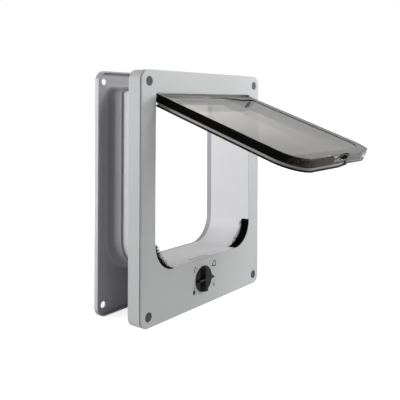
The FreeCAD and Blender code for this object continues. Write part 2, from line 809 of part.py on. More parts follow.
def make_flap_front():
    """The front moulding: thin clear front with a dipped panel, core ring, web and hinge bar."""
    body = new_body("flap_front")
    sketch = front_sketch(body, "FrontOutline", "-flap_front")
    add_flap(sketch, "pile_proud")
    pad(body, "Front", sketch, "panel_dip + panel_wall")
    # behind the lip the pile's seat is cut back to the core
    sketch = front_sketch(body, "SeatOutline", FRONT_BACK)
    add_flap(sketch, "0", "-bar_drop + flap_round")
    add_flap(sketch, "pile_proud + pile_seat", "-bar_drop - core_wall / 2")
    pocket(body, "PileSeat", sketch, "pile_thick")
    sketch = front_sketch(body, "CoreOutline", FRONT_BACK)
    add_flap(sketch, "pile_proud + pile_seat", "-bar_drop")
    add_flap(sketch, "pile_proud + pile_seat + core_wall", "-bar_drop - core_wall", "core_wall / 2")
    pad(body, "Core", sketch, "pile_thick")
    sketch = front_sketch(body, "DipOutline", "-flap_front")
    add_flap(sketch, "pile_proud + border_width", "-bar_drop - border_width / 2", "core_wall / 2")
    pocket(body, "Dip", sketch, "panel_dip")

    # the hinge bar, with a neck down to the body
    reach = f"{FLAP_SIDE}"
    sketch = new_sketch(body, "BarOutline", "YZ_Plane", f"-{reach}")
    add_circle(sketch, "0", "0", "bar_width")
    pad(body, "Bar", sketch, f"2 * {reach}", reverse=False)
    sketch = new_sketch(body, "NeckOutline", "YZ_Plane", f"-({reach} - pile_proud)")
    add_polygon(
        sketch,
        [
            ("-bar_width / 2", "0"),
            ("-flap_front", "-bar_drop"),
            ("-flap_front", "-bar_drop - flap_round"),
            (BACK_FRONT, "-bar_drop - flap_round"),
            (BACK_FRONT, "-bar_drop"),
            ("bar_width / 2", "0"),
        ],
    )
    pad(body, "Neck", sketch, f"2 * ({reach} - pile_proud)", reverse=False)
    for side, name in ((-1, "Left"), (1, "Right")):
        sketch = new_sketch(body, f"{name}PinOutline", "YZ_Plane", f"{side} * {reach}")
        add_circle(sketch, "0", "0", "pin_width")
        pocket(body, f"{name}PinBore", sketch, "pin_seat", reverse=side < 0)

    # the notch in the bottom edge leaves only a web in the middle of the thickness
    sketch = front_sketch(body, "NotchOutline", "-flap_front")
    notch_top = f"{FLAP_LOW} + notch_height"
    add_rectangle(sketch, NOTCH_LEFT, NOTCH_RIGHT, FLAP_LOW, notch_top)
    pocket(body, "Notch", sketch, "flap_front + pile_thick")
    sketch = front_sketch(body, "WebOutline", "-web_thick / 2")
    add_rectangle(
        sketch,
        NOTCH_LEFT,
        f"{NOTCH_RIGHT} - magnet_width",
        FLAP_LOW,
        f"{notch_top} + core_wall / 4",
    )
    pad(body, "Web", sketch, "web_thick")
    hang(body)
    return body


def make_flap_back():
    """The back moulding: a clear plate that closes the flap and holds the pile."""
    body = new_body("flap_back")
    sketch = front_sketch(body, "BackOutline", BACK_FRONT)
    add_flap(sketch, "pile_proud")
    pad(body, "Back", sketch, "back_panel")
    sketch = front_sketch(body, "BackNotchOutline", BACK_FRONT)
    notch_top = f"{FLAP_LOW} + notch_height"
    add_rectangle(sketch, NOTCH_LEFT, NOTCH_RIGHT, FLAP_LOW, notch_top)
    pocket(body, "BackNotch", sketch, "back_panel")
    back = number(f"{BACK_FRONT} + back_panel")
    dress_edges(body, "Chamfer", "BackEdge", "flap_round", lambda edge: lies_at(edge, back))
    hang(body)
    return body


def make_pile(name, side):
    """A draught strip: the left one reaches the notch, the right one ends on its corner."""
    body = new_body(name)
    sketch = front_sketch(body, "PileOutline", FRONT_BACK)
    add_flap(sketch, "0", "-bar_drop - flap_round")
    pad(body, "Pile", sketch, "pile_thick")
    sketch = front_sketch(body, "InnerOutline", FRONT_BACK)
    add_flap(sketch, "pile_proud + pile_seat", "0")
    pocket(body, "Inner", sketch, "pile_thick")
    sketch = front_sketch(body, "OtherHalf", FRONT_BACK)
    if side < 0:
        add_rectangle(sketch, NOTCH_LEFT, "opening_width", "-opening_height", "flap_gap")
    else:
        end = f"{FLAP_SIDE} - pile_right_end"
        add_rectangle(sketch, "-opening_width", end, "-opening_height", "flap_gap")
    pocket(body, "Half", sketch, "pile_thick")
    hang(body)
    return body


def make_flap_magnet():
    """The dark block at the right end of the notch, beside the web."""
    body = new_body("flap_magnet")
    left = f"{NOTCH_RIGHT} - magnet_width"
    top = f"{FLAP_LOW} + notch_height"
    low = f"{FLAP_LOW} + magnet_inset"
    sketch = front_sketch(body, "MagnetOutline", FRONT_BACK)
    add_rectangle(sketch, left, NOTCH_RIGHT, low, top)
    pad(body, "Magnet", sketch, "pile_thick")
    hang(body)
    return body


def main():
    """Makes every piece, checks it and writes it to its own file."""
    pieces = [make_inner_frame(), make_outer_frame()]
    for index, (side, level) in enumerate(CORNERS, start=1):
        pieces.append(make_screw_cap(index, side, level))
    pieces.append(make_lock_cover())
    for index, (side, level) in enumerate(CORNERS, start=1):
        pieces.append(make_cover_screw(index, side, level))
    pieces.append(make_detent_spring())
    pieces.append(make_sill_magnet())
    pieces.append(make_knob())
    pieces.append(make_cam_drum())
    pieces.append(make_knob_screw())
    pieces.append(make_flap_front())
    pieces.append(make_flap_back())
    pieces.append(make_flap_magnet())
    for side, name in ((-1, "left"), (1, "right")):
        pieces.append(make_hinge_pin(f"hinge_pin_{name}", side))
        pieces.append(make_pile(f"pile_{name}", side))
        pieces.append(make_corner_pile(f"corner_pile_{name}", side))
    doc.recompute()
    for item in doc.Objects:
        if "Invalid" in item.State or "Error" in item.State:
            raise RuntimeError(f"{item.Label} did not build: {item.State}")
    os.makedirs("parts", exist_ok=True)
    for piece in pieces:
        shape = piece.Shape
        if shape.isNull() or not shape.isValid() or len(shape.Solids) != 1:
            raise RuntimeError(f"{piece.Label} is not one valid solid")
        shape.exportStep(f"parts/{piece.Label}.step")
        print(piece.Label, round(shape.Volume), "mm3")


main()
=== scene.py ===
import json
import math

import bpy
import numpy as np
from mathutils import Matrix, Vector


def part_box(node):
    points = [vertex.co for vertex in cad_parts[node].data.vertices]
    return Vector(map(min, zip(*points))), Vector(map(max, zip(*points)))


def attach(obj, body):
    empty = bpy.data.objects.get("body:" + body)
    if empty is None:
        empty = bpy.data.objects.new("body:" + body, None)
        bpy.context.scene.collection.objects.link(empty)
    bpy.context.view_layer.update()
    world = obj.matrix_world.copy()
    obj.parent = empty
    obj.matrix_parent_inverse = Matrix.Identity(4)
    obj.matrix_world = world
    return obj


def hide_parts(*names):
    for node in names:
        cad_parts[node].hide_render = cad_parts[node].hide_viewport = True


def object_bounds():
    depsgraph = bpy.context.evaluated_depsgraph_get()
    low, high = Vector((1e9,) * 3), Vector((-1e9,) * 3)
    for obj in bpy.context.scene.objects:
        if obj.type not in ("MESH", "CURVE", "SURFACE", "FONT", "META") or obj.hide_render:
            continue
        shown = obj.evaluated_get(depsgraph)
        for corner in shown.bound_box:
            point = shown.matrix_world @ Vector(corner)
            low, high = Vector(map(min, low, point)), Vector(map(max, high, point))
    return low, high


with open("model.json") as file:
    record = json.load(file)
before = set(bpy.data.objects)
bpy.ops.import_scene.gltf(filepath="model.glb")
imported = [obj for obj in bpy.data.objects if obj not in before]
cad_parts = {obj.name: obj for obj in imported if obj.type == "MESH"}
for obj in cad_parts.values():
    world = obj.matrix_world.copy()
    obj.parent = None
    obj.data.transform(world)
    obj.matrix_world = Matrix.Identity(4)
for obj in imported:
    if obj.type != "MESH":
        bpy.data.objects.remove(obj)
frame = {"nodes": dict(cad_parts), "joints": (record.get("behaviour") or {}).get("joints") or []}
cad_box = [list(corner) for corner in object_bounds()]


# Camera: it stands to the left of the frame on the room side and looks level past the open flap.
# Its place and lens come from the straight edges of both plates. The picture's middle is lowered
# with a shift, because the horizon lies near the hinge.
picture = 400
focal_pixels = 615
turn = math.radians(36.8)
roll = math.radians(0.255)
horizon_pixels = 103.7
camera = bpy.data.objects.new("camera", bpy.data.cameras.new("camera"))
bpy.context.scene.collection.objects.link(camera)
camera.location = (-0.6375, -0.4849, 0.1087)
camera.rotation_euler = (math.pi / 2, 0, turn - math.pi / 2)
camera.rotation_euler.rotate_axis("Z", roll)
camera.data.sensor_width = 36
camera.data.lens = focal_pixels / picture * camera.data.sensor_width
camera.data.shift_y = (horizon_pixels - picture / 2) / picture
camera.data.clip_start = 0.02
camera.data.clip_end = 60
bpy.context.scene.camera = camera
bpy.context.scene.view_settings.view_transform = "Standard"


# Studio: a pale floor under the frame, white all round, and soft lamps. The floor and the white
# are bright only for the eye, so that they put no more light on the object.
class Value:
    """A node's output that can be used in sums and products like a number."""

    def __init__(self, nodes, socket):
        self.nodes = nodes
        self.socket = socket

    def combine(self, operation, first, second=0.0):
        """The Math node of one operation on numbers or outputs."""
        return self.nodes.add("ShaderNodeMath", {"operation": operation}, {0: first, 1: second})

    def __add__(self, other):
        return self.combine("ADD", self, other)

    def __sub__(self, other):
        return self.combine("SUBTRACT", self, other)

    def __rsub__(self, other):
        return self.combine("SUBTRACT", other, self)

    def __mul__(self, other):
        return self.combine("MULTIPLY", self, other)

    def __neg__(self):
        return self.combine("MULTIPLY", self, -1.0)

    def __abs__(self):
        return self.combine("ABSOLUTE", self)

    def or_more(self, other):
        """The larger of this and another."""
        return self.combine("MAXIMUM", self, other)

    def root(self):
        """The square root."""
        return self.combine("SQRT", self)

    __radd__ = __add__
    __rmul__ = __mul__


class Nodes:
    """The nodes of one material or world."""

    def __init__(self, tree):
        self.tree = tree

    def feed(self, socket, value):
        """Links an output to a socket, or sets the socket's own value."""
        if isinstance(value, Value):
            self.tree.links.new(value.socket, socket)
        else:
            socket.default_value = value

    def add(self, kind, settings=None, sockets=None, output=0):
        """One node: its settings first, then its sockets. Gives back one output."""
        node = self.tree.nodes.new(kind)
        for name, value in (settings or {}).items():
            setattr(node, name, value)
        for name, value in (sockets or {}).items():
            self.feed(node.inputs[name], value)
        return Value(self, node.outputs[output])

    def shade(self, kind, sockets):
        """Sets sockets of the shader of that kind that is already there."""
        node = next(each for each in self.tree.nodes if each.bl_idname == kind)
        for name, value in sockets.items():
            self.feed(node.inputs[name], value)


def new_material(name):
    """A material with one Principled shader, and its nodes."""
    material = bpy.data.materials.new(name)
    material.use_nodes = True
    return material, Nodes(material.node_tree)


def grey(red, green=None, blue=None):
    """A colour written as it shows on screen, 0 to 255, as the shader takes it.

    The screen's scale is straight up to 0.04045 and a power of 2.4 above that. One number alone
    stands for all three.
    """
    shown = np.array([red, red if green is None else green, red if blue is None else blue]) / 255
    linear = np.where(shown <= 0.04045, shown / 12.92, ((shown + 0.055) / 1.055) ** 2.4)
    return (*linear, 1)


def seen_directly(nodes):
    """1 for rays from the eye and for those that a gloss or a clear wall sends on."""
    rays = [
        nodes.add("ShaderNodeLightPath", output=name)
        for name in ("Is Camera Ray", "Is Glossy Ray", "Is Transmission Ray")
    ]
    return nodes.add("ShaderNodeClamp", sockets={"Value": rays[0] + rays[1] + rays[2]})


def rises(nodes, value, start, end):
    """0 where a value is below start, 1 above end, smooth between."""
    sockets = {"Value": value, "From Min": start, "From Max": end}
    return nodes.add("ShaderNodeMapRange", {"interpolation_type": "SMOOTHSTEP"}, sockets)


def between(nodes, factor, first, second):
    """A colour between two others."""
    sockets = {"Factor": factor, "A": first, "B": second}
    return nodes.add("ShaderNodeMix", {"data_type": "RGBA"}, sockets, output="Result")


black, white = (0, 0, 0, 1), (1, 1, 1, 1)
fill_light = 0.03
world = bpy.data.worlds.new("studio")
bpy.context.scene.world = world
world.use_nodes = True
nodes = Nodes(world.node_tree)
strength = fill_light + (1 - fill_light) * seen_directly(nodes)
nodes.shade("ShaderNodeBackground", {"Color": white, "Strength": strength})

floor_half = 6
floor_level = cad_box[0][2]
corners = [(-1, -1), (1, -1), (1, 1), (-1, 1)]
floor_mesh = bpy.data.meshes.new("floor")
floor_mesh.from_pydata(
    [(x * floor_half, y * floor_half, floor_level) for x, y in corners], [], [(0, 1, 2, 3)]
)
floor = bpy.data.objects.new("floor", floor_mesh)
bpy.context.scene.collection.objects.link(floor)
floor_paint, nodes = new_material("floor_paint")
place = nodes.add("ShaderNodeTexCoord", output="Object")
grain = nodes.add("ShaderNodeTexNoise", sockets={"Vector": place, "Scale": 220})
away = nodes.add("ShaderNodeVectorMath", {"operation": "LENGTH"}, {0: place}, output="Value")
# near the frame the floor's own glow is weaker, so that the shadow shows
near, far, near_glow = 0.25, 0.9, 0.75
glow = seen_directly(nodes) * (near_glow + (1 - near_glow) * rises(nodes, away, near, far))
nodes.shade(
    "ShaderNodeBsdfPrincipled",
    {
        "Base Color": grey(225),
        "Roughness": 0.9 + 0.05 * grain,
        "Specular IOR Level": 0.1,
        "Emission Color": between(nodes, glow, black, white),
        "Emission Strength": 1.04,
    },
)
floor_mesh.materials.append(floor_paint)

# each lamp's place, its width and its power in watts; all of them look at the frame's middle
lamps = {
    "right": ((1.5, -1.0, 0.5), 0.8, 18),
    "above": ((0.5, -1.2, 1.2), 0.7, 12),
    "front_left": ((-0.5, -1.3, 1.0), 0.7, 3),
    "behind_left": ((-1.2, 1.0, 0.3), 1.0, 19),
}
for name, (spot, width, watts) in lamps.items():
    lamp = bpy.data.objects.new(name, bpy.data.lights.new(name, "AREA"))
    bpy.context.scene.collection.objects.link(lamp)
    lamp.data.size = width
    lamp.data.energy = watts
    lamp.location = spot
    lamp.rotation_euler = (-lamp.location).to_track_quat("-Z", "Y").to_euler()


# Frames: the inner and outer plates, their sleeve and tunnel, and the cover over the lock. They
# are moulded in grey plastic with a fine, even grain. The two plates clamp the door.
def along(nodes, place, axis):
    """One coordinate of a place."""
    return nodes.add("ShaderNodeSeparateXYZ", sockets={"Vector": place}, output=axis)


def moulded(name, colour, roughness=0.45, grain_depth=0.00004, gloss=0.4, edge=None, sleeve_painted_light=None):
    """Moulded plastic: a fine grain in the surface, and a slightly uneven colour and gloss.

    An edge colour shows on the faces at the plates' far sides, top and bottom: a painted highlight
    where the lamps catch the rim.
    A paler colour, if given, shows on the opening's walls and behind the inner plate: painted
    light, brighter than the lamps make them.
    """
    material, nodes = new_material(name)
    place = nodes.add("ShaderNodeTexCoord", output="Object")
    fine = nodes.add("ShaderNodeTexNoise", sockets={"Vector": place, "Scale": 2600, "Detail": 2})
    broad = nodes.add("ShaderNodeTexNoise", sockets={"Vector": place, "Scale": 18, "Detail": 3})
    pale = grey(*colour)
    dark = (*(0.92 * part for part in pale[:3]), 1)
    mixed = between(nodes, broad * 0.6 + fine * 0.4, pale, dark)
    # painted highlight: the plates' outer faces at the rim get a paler colour, where the lamps
    # catch them
    if edge:
        past_side = abs(along(nodes, place, "X")) - cad_box[1][0]
        past_top = abs(along(nodes, place, "Z")) - cad_box[1][2]
        painted_rim_highlight = rises(nodes, past_side.or_more(past_top), -0.0009, -0.0003)
        mixed = between(nodes, painted_rim_highlight, mixed, grey(*edge))
    # painted light: the opening's walls and the back of the inner plate get a paler colour than the
    # lamps give them
    if sleeve_painted_light:
        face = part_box("inner_frame")[0][1]
        depth = along(nodes, place, "Y")
        behind = rises(nodes, depth, 0.0, 0.003)
        inside = rises(nodes, -abs(along(nodes, place, "X")), -0.1045, -0.1035)
        walls = rises(nodes, depth, face + 0.0006, face + 0.002) * inside
        mixed = between(nodes, behind.or_more(walls), mixed, grey(*sleeve_painted_light))
    relief = {"Height": fine, "Distance": grain_depth, "Strength": 0.6}
    nodes.shade(
        "ShaderNodeBsdfPrincipled",
        {
            "Base Color": mixed,
            "Roughness": roughness + 0.12 * broad,
            "Normal": nodes.add("ShaderNodeBump", sockets=relief, output="Normal"),
            "Specular IOR Level": gloss,
        },
    )
    return material


def dress(material, names):
    """Gives CAD nodes a better material."""
    for name in names:
        for slot in frame["nodes"][name].material_slots:
            slot.material = material


# the frame plastic's paler colour on its sleeve and back is painted light
frame_plastic = moulded("frame_plastic", (200, 201, 202), sleeve_painted_light=(232, 232, 234))
dress(frame_plastic, ["inner_frame", "lock_cover"])
# the outer plastic's paler edge colour is a painted highlight on its rim
outer_plastic = moulded("outer_plastic", (174, 173, 179), edge=(212, 211, 215))
dress(outer_plastic, ["outer_frame"])


# Screw caps: four round plugs of dark grey plastic. They are pressed into the recesses in the
# corners of the inner plate and hide the heads of the long screws.
cap_plastic = moulded("cap_plastic", (60, 61, 64), roughness=0.5, gloss=0.3)
dress(cap_plastic, [f"screw_cap_{index}" for index in range(1, 5)])


# Knob: a glossy black disc with an upright grip and a short pointer, moulded in one piece. It turns
# through four places. The drum behind it, the screws and the leaf spring are out of sight.
def mesh_piece(name, points, faces, material, body, slot, smooth=True):
    """A piece from points and faces. It rides on a body and takes the material it is given; the
    slot is not used.
    """
    mesh = bpy.data.meshes.new(name)
    mesh.from_pydata(points.reshape(-1, 3).tolist(), [], faces)
    mesh.polygons.foreach_set("use_smooth", np.full(len(faces), smooth))
    mesh.materials.append(material)
    piece = bpy.data.objects.new(name, mesh)
    bpy.context.scene.collection.objects.link(piece)
    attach(piece, body)
    return piece


def tube_faces(rings, around, looped=False):
    """Faces of a tube made of rings of points. Flat faces close its ends, unless it is looped.

    Point number ring * around + place is joined to the next place of its ring and to the same two
    places of the next ring. The numbers wrap round the ring, and round a looped tube.
    """
    ring = np.arange(rings if looped else rings - 1)[:, None]
    place = np.arange(around)[None, :]
    after = (place + 1) % around
    here, there = ring * around, (ring + 1) % rings * around
    sides = np.stack([here + after, here + place, there + place, there + after], axis=-1)
    faces = sides.reshape(-1, 4).tolist()
    if not looped:
        faces.append(list(range(around)))
        faces.append(list(range(rings * around - 1, (rings - 1) * around - 1, -1)))
    return faces


def smooth_step(value):
    """0 below 0, 1 above 1, and between them the value squared times 3 less twice the value."""
    inside = np.clip(value, 0, 1)
    return inside * inside * (3 - 2 * inside)


def inside_box(x, z, half_x, half_z, corner):
    """How far a point lies inside a rectangle with rounded corners: below 0 it is outside.

    Past the corner's centre both ways, it is the corner's radius less the distance to that
    centre. Elsewhere it is the distance to the nearest side.
    """
    away_x = np.abs(x) - half_x + corner
    away_z = np.abs(z) - half_z + corner
    outside = np.hypot(np.maximum(away_x, 0), np.maximum(away_z, 0))
    return corner - outside - np.minimum(np.maximum(away_x, away_z), 0)


black_gloss = moulded("black_gloss", (3, 3, 4), roughness=0.25, grain_depth=0.000006, gloss=0.12)
dress(black_gloss, ["cam_drum"])
steel, nodes = new_material("steel")
place = nodes.add("ShaderNodeTexCoord", output="Object")
brushed = nodes.add("ShaderNodeTexNoise", sockets={"Vector": place, "Scale": 1500, "Detail": 3})
nodes.shade(
    "ShaderNodeBsdfPrincipled",
    {"Base Color": grey(186), "Metallic": 1.0, "Roughness": 0.22 + 0.25 * brushed},
)
dress(steel, ["knob_screw", "detent_spring", "hinge_pin_left", "hinge_pin_right"])
dress(steel, [f"cover_screw_{index}" for index in range(1, 5)])
dark_coat = moulded("dark_coat", (34, 34, 36), roughness=0.4)
dress(dark_coat, ["sill_magnet", "flap_magnet"])

low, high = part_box("knob")
knob_x, knob_z = (low[0] + high[0]) / 2, (low[2] + high[2]) / 2
knob_radius = (high[0] - low[0]) / 2
face_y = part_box("inner_frame")[0][1]
gap_behind, disc_height, grip_height = 0.0003, 0.0012, 0.0042
grip_half, pointer_half, corner = (0.0038, 0.0161), (0.0166, 0.0021), 0.0019
wall, pointer_share, pointer_shift = 0.0011, 0.95, 0.001
nose, nose_width = 0.0016, 0.13

# The rings go from the middle out, over the rounded rim and back to the middle behind it. The rim
# reaches further out in a small nose under the pointer's tip, a bell curve over the angle's sine.
rings = np.concatenate([np.linspace(0.02, 1, 90), [1.0, 0.98, 0.02]])
drop = np.concatenate([np.zeros(88), [0.25, 0.6, 0.85, 1, 1]])[:, None]
angle = np.linspace(0, 2 * math.pi, 144, endpoint=False)
bell = np.exp(-((np.sin(angle) / nose_width) ** 2)) * (np.cos(angle) > 0)
reach = knob_radius + nose * bell
across = reach * rings[:, None] * np.cos(angle)
up = reach * rings[:, None] * np.sin(angle)
grip = inside_box(across, up, *grip_half, corner)
pointer = inside_box(across - pointer_shift, up, *pointer_half, corner)
raised = np.maximum(smooth_step(grip / wall), pointer_share * smooth_step(pointer / wall))
height = disc_height * (1 - drop) + grip_height * raised * (drop == 0)
points = np.stack([knob_x + across, face_y - gap_behind - height, knob_z + up], axis=-1)
faces = tube_faces(len(rings), len(angle))
knob_cap = mesh_piece("knob_cap", points, faces, black_gloss, "lock", "black_plastic")
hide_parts("knob")


# Marks: four small signs for the lock's four places, printed on the inner plate round the knob in
# dark grey ink. They stand out by less than a tenth of a millimetre.
mark_ink = moulded("mark_ink", (24, 24, 26), roughness=0.6, gloss=0.1)
ink_height = 0.00008
line, thin_line, hair_line = 0.0011, 0.0008, 0.0006
knob_centre = np.array([knob_x, knob_z])


def drawn(corners, looped=False):
    """A path through corners in millimetres from the knob's centre, with 12 points to a side."""
    corners = np.array(corners + corners[:1] if looped else corners) / 1000
    place = np.linspace(0, len(corners) - 1, 12 * (len(corners) - 1) + 1)
    place = place[:-1] if looped else place
    path = [np.interp(place, np.arange(len(corners)), corners[:, side]) for side in (0, 1)]
    return knob_centre + np.stack(path, axis=1)


def oval(x, z, half_x, half_z):
    """A closed path round a centre: the cosine and sine of an angle times the two half sizes."""
    bend = np.linspace(0, 2 * math.pi, 24, endpoint=False)
    ring = np.stack([np.cos(bend), np.sin(bend)], axis=1)
    return knob_centre + (x, z) + ring * (half_x, half_z)


def ribbon(path, width, looped=False):
    """A flat bar along a path of x and z, a little proud of the face.

    Each point is moved by half the width to both sides of the path, square to it, and repeated
    at the back, so that four corners make each ring of a tube.
    """
    before, after = np.roll(path, 1, axis=0), np.roll(path, -1, axis=0)
    if not looped:
        before[0], after[-1] = 2 * path[0] - path[1], 2 * path[-1] - path[-2]
    along_path = (after - before) / np.linalg.norm(after - before, axis=1, keepdims=True)
    side = np.stack([-along_path[:, 1], along_path[:, 0]], axis=1) * width / 2
    left, right = path + side, path - side
    corners = np.stack([right, left, left, right], axis=1)
    depth = np.broadcast_to(np.array([-ink_height, -ink_height, 0, 0]), corners.shape[:2])
    points = np.stack([corners[..., 0], face_y + depth, corners[..., 1]], axis=-1)
    return points, tube_faces(len(points), 4, looped)


# an outline at the upper right, two strokes at the upper left, a drop with a dot over it at the
# lower left, and three short strokes at the lower right
outline = drawn([(18.2, 12.6), (23.2, 19.0), (27.2, 16.2), (26.2, 11.4)], looped=True)
marks = [
    ribbon(outline, line, looped=True),
    ribbon(drawn([(-19.0, 18.8), (-17.4, 17.2), (-15.0, 15.4)]), line),
    ribbon(drawn([(-19.8, 15.6), (-18.6, 13.4), (-18.4, 10.8)]), line),
    ribbon(oval(-0.0194, -0.0132, 0.0013, 0.0021), 0.0021, looped=True),
    ribbon(oval(-0.0192, -0.008, 0.0006, 0.0006), 0.0009, looped=True),
    ribbon(drawn([(20.6, -9.6), (22.0, -12.2), (25.0, -14.4)]), thin_line),
    ribbon(drawn([(24.6, -9.8), (23.4, -11.4)]), hair_line),
    ribbon(drawn([(21.4, -14.2), (23.0, -13.0)]), hair_line),
]
for number, mark in enumerate(marks, 1):
    mesh_piece(f"lock_mark_{number}", *mark, mark_ink, "frame", "frame_grey", smooth=False)


# Flap: two clear, lightly smoked mouldings, seen nearly edge-on. The front one has a thin lip, a
# dipped panel and the hinge bar, and the back one closes it. The border is darker than the panel.
joint = next(each for each in frame["joints"] if each["name"] == "flap_hinge")
hinge = np.array(joint["pos_m"])
open_angle = math.radians(70)
side_x, top_z, corner_radius, low_z = 0.0992, -0.0095, 0.0327, -0.2037
corner_x, corner_z = side_x - corner_radius, low_z + corner_radius

# The pattern is laid out on the flap as it hangs, from the hinge: across it, through it and down.
smoked, nodes = new_material("smoked_clear")
place = nodes.add("ShaderNodeTexCoord", output="Object")
hanging = nodes.add(
    "ShaderNodeMapping",
    {"vector_type": "TEXTURE"},
    {"Vector": place, "Location": tuple(hinge), "Rotation": (-open_angle, 0, 0)},
)
across = along(nodes, hanging, "X")
deep = along(nodes, hanging, "Y")
down = along(nodes, hanging, "Z")
beside = (abs(across) - corner_x).or_more(0.0)
below = (corner_z - down).or_more(0.0)
rim = rises(nodes, (beside * beside + below * below).root(), 0.0285, 0.0292)
# where the painted highlight goes: the front of the rim's left side
left_front_highlight = rises(nodes, -across, 0.085, 0.09) * rises(nodes, -deep, 0.004, 0.0042)

# Each zone's colour lies over the ones before it: the panel above its darker end, the panel's
# right side, the right border, the low border and the neck under the hinge bar. The rim's four are
# the whole rim, its dark right side, a painted highlight on the front of its left side and its dark
# back edge.
zones = [
    (rises(nodes, down, -0.19, -0.02), grey(234, 233, 229)),
    (rises(nodes, across, 0.022, 0.028), grey(160, 159, 155)),
    (rises(nodes, across, 0.083, 0.085), grey(62, 61, 59)),
    (rises(nodes, -down, 0.1875, 0.1885), grey(112, 111, 108)),
    (rises(nodes, down, -0.0175, -0.016), grey(150, 150, 148)),
    (rim, grey(122, 121, 118)),
    (rim * rises(nodes, across, 0.07, 0.08), grey(34, 34, 33)),
    # painted highlight along the front of the rim's left side
    (rim * left_front_highlight, grey(240)),
    (rim * rises(nodes, deep, 0.0066, 0.007), grey(34, 34, 33)),
]
tint = grey(158, 157, 153)
for mask, colour in zones:
    tint = between(nodes, mask, tint, colour)
wear = nodes.add("ShaderNodeTexNoise", sockets={"Vector": place, "Scale": 60, "Detail": 4})
fine = nodes.add("ShaderNodeTexNoise", sockets={"Vector": place, "Scale": 900, "Detail": 2})
# such plastic has an index of about 1.5, with which the white studio's reflection would hide the
# panel at this low angle
nodes.shade(
    "ShaderNodeBsdfPrincipled",
    {
        "Base Color": tint,
        "Roughness": 0.012 * wear + 0.008 * fine,
        "Transmission Weight": 1.0,
        "IOR": 1.2,
    },
)
dress(smoked, ["flap_front", "flap_back"])


# Hinge rib: a low arched rib across the front moulding, just under the bar, that stiffens it. Its
# dark grey is partly the smoked plastic's own tone and partly painted shade for the dark look of
# the thick clear bar. The knuckle at the right is nearly black: its own plastic and painted shadow
# of the opening's top right corner.
# the smoked plastic's tone and painted shade for the hinge bar's dark look
rib_plastic = moulded("rib_plastic", (98, 98, 96), roughness=0.3, grain_depth=0.00001)
# the knuckle's own dark plastic and painted shadow of the opening's top right corner
knuckle_plastic = moulded("knuckle_plastic", (58, 58, 57), roughness=0.3, grain_depth=0.00001)
rib_face, rib_height, bar_edge = -0.00555, 0.00035, -0.0042


def opened(x, y, z):
    """Points of the hanging flap, turned about the hinge to where it is held open.

    y becomes y times the angle's cosine plus z times its sine, and z becomes z times the cosine
    less y times the sine. Both are then counted from the hinge.
    """
    turned_y = y * math.cos(open_angle) + z * math.sin(open_angle)
    turned_z = z * math.cos(open_angle) - y * math.sin(open_angle)
    return np.stack([x + 0 * z, hinge[1] + turned_y, hinge[2] + turned_z], axis=-1)


def rib_strip(start, end, columns):
    """A flat bar on the moulding's face, four points to a ring.

    Its middle line lies 9.8 mm under the hinge at the left, rises by 4 mm over 70 mm and then
    sinks by 11.5 mm over 60 mm, both smoothly. Half its width grows from 2.2 to 5.8 mm at the left
    end, and the hinge bar's edge cuts it off above.
    """
    x = np.linspace(start, end, columns)[:, None]
    lifted = 0.004 * smooth_step((x + 0.095) / 0.07)
    sunk = 0.0098 - lifted + 0.0115 * smooth_step((x - 0.005) / 0.06)
    half = 0.0022 + 0.0036 * smooth_step((x + 0.097) / 0.03)
    ring = np.array([(-1, 0), (-1, 1), (1, 1), (1, 0)])
    z = np.minimum(-sunk + half * ring[:, 0], bar_edge)
    points = opened(x + 0 * z, rib_face - rib_height * ring[:, 1] + 0 * z, z)
    return points, tube_faces(columns, 4)


for name, bar, finish in (
    ("hinge_rib", rib_strip(-0.094, 0.066, 60), rib_plastic),
    ("hinge_knuckle", rib_strip(0.066, 0.092, 12), knuckle_plastic),
):
    mesh_piece(name, *bar, finish, "flap", "clear_smoke", smooth=False)


# Pile: a dense black draught strip along the flap's side and bottom edges. Short fibres stand on
# a woven backing that is pressed in between the two mouldings. Their grey is partly painted sheen,
# and the pale fibres near the notch are painted light where the lamps catch the fibre tips.
pile_black = moulded("pile_black", (13, 12, 11), roughness=0.9, grain_depth=0.0003, gloss=0.05)
# partly painted sheen: the short fibres are paler than the black backing
fibre_grey = moulded("fibre_grey", (38, 36, 34), roughness=0.8, grain_depth=0, gloss=0.1)
# painted light: pale fibres where the lamps catch the pile's tips near the notch
fibre_pale = moulded("fibre_pale", (172, 165, 156), roughness=0.8, grain_depth=0, gloss=0.1)
side_length = -corner_z + top_z
arc_length = corner_radius * math.pi / 2
pile_front, pile_width = -0.0057, 0.0095
fibres_per_metre, painted_light_fibres = 34000, 7000
random = np.random.default_rng(7)


def along_edge(travel, inset, side):
    """Points on the flap's edge by the length travelled from its top: x, z and the way outwards.

    Down the straight side, round the corner by an angle of travel over radius, then along the
    bottom edge towards the middle. The point lies an inset inwards from the tips of the pile.
    """
    turn = np.clip((travel - side_length) / corner_radius, 0, math.pi / 2)
    out_x, out_z = -np.cos(turn), -np.sin(turn)
    past_corner = np.maximum(travel - side_length - arc_length, 0)
    x = -corner_x + (corner_radius - inset) * out_x + past_corner
    z = corner_z + (corner_radius - inset) * out_z + np.maximum(side_length - travel, 0)
    return -side * x, z, -side * out_x, out_z


def pile_strip(end, side):
    """The pile's body along the edge, as a tube with 24 points to a ring.

    A ring is a rounded rectangle: the cosine and the sine of an angle, each raised to a power
    below 1 with its sign kept, times half its height and half its width.
    """
    travel = np.linspace(0, end, 140)[:, None]
    bend = np.linspace(0, 2 * math.pi, 24, endpoint=False)[None, :]
    outwards, sideways = np.cos(bend), np.sin(bend)
    inset = 0.0018 - 0.001 * np.sign(outwards) * np.abs(outwards) ** 0.6
    depth = pile_front + pile_width * (0.5 + 0.48 * np.sign(sideways) * np.abs(sideways) ** 0.5)
    x, z, _, _ = along_edge(travel, inset, side)
    points = opened(x, depth + 0 * x, z)[:, ::side]
    return points, tube_faces(*points.shape[:2])


